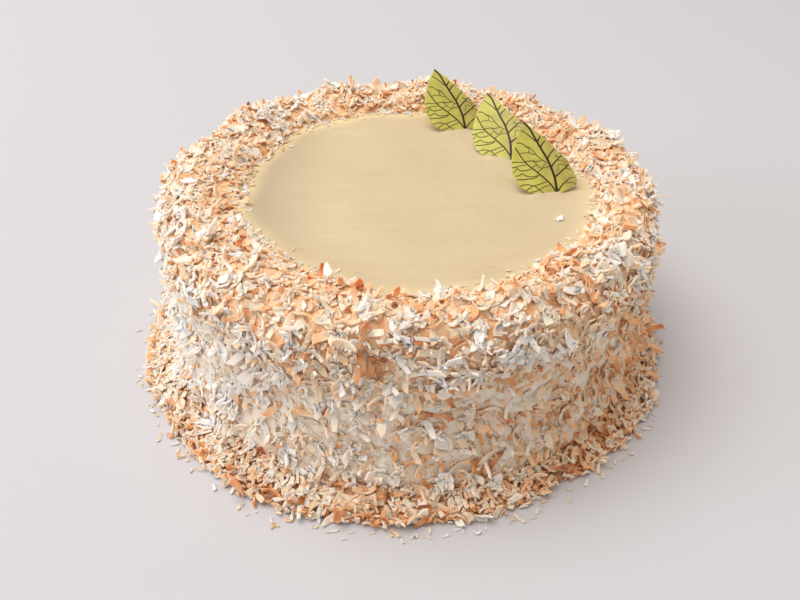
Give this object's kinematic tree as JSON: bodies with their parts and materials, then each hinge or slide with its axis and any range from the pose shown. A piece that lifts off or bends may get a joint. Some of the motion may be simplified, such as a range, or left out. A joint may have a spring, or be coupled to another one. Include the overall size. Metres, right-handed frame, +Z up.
{
  "type": "coconut cake",
  "caption": "Round cream cake with a rounded rim, coated with toasted coconut shavings and topped with chocolate leaves.",
  "frame": {"origin": "middle of the cake's round base, at the level it stands on", "axes": "+Z up, -Y towards the front, +X to the right as seen from the front"},
  "size_m": [0.2795, 0.2791, 0.1121],
  "materials": {
    "cream": "smooth pale yellow cream, satin",
    "coconut": "white to toasted tan coconut shavings, matte",
    "chocolate": "yellow-green chocolate with a dark vein print, slightly glossy"
  },
  "bodies": {
    "root": {"cake": "cream", "coconut_coat": "coconut", "coconut_bank": "coconut", "leaf_left": "chocolate", "leaf_middle": "chocolate", "leaf_right": "chocolate"}
  },
  "joints": []
}
